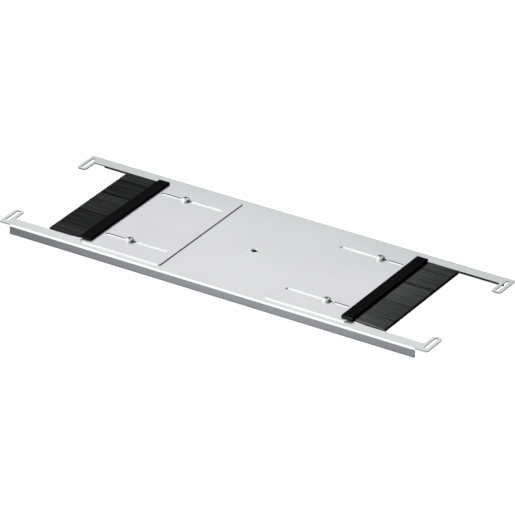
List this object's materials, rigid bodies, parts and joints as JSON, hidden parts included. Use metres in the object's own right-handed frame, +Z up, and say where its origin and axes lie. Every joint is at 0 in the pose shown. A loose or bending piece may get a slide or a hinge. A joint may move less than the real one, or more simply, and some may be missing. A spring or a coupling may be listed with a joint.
{
  "type": "cable entry plate",
  "caption": "Folded steel cable entry plate for a cabinet floor or roof, with an open window at each end and sliding plates that carry brush strips.",
  "frame": {"origin": "middle of the plate, at the height of the lower edges of its two folds", "axes": "+X along the plate towards the right-hand window, +Y across it from the front fold to the back fold, +Z up"},
  "size_m": [0.695, 0.238, 0.0202],
  "materials": {
    "sheet_steel": "smooth zinc-coated sheet",
    "fastener_steel": "bright zinc plating",
    "profile_plastic": "black extruded plastic, satin",
    "bristle_nylon": "black nylon filaments"
  },
  "bodies": {
    "base": {"base_plate": "sheet_steel", "clamp_screws": "fastener_steel", "clamp_washers": "fastener_steel", "clamp_nuts": "fastener_steel", "earth_nut": "fastener_steel"},
    "left_slide": {"left_sliding_plate": "sheet_steel", "left_brush_profile": "profile_plastic", "left_bristles": "bristle_nylon"},
    "right_slide": {"right_sliding_plate": "sheet_steel", "right_brush_profile": "profile_plastic", "right_bristles": "bristle_nylon"}
  },
  "joints": [
    {"name": "left_plate_slide", "type": "slide", "parent": "base", "child": "left_slide", "axis": [-1, 0, 0], "range_m": [-0.037, 0.056]},
    {"name": "right_plate_slide", "type": "slide", "parent": "base", "child": "right_slide", "axis": [1, 0, 0], "range_m": [-0.0335, 0.06]}
  ]
}
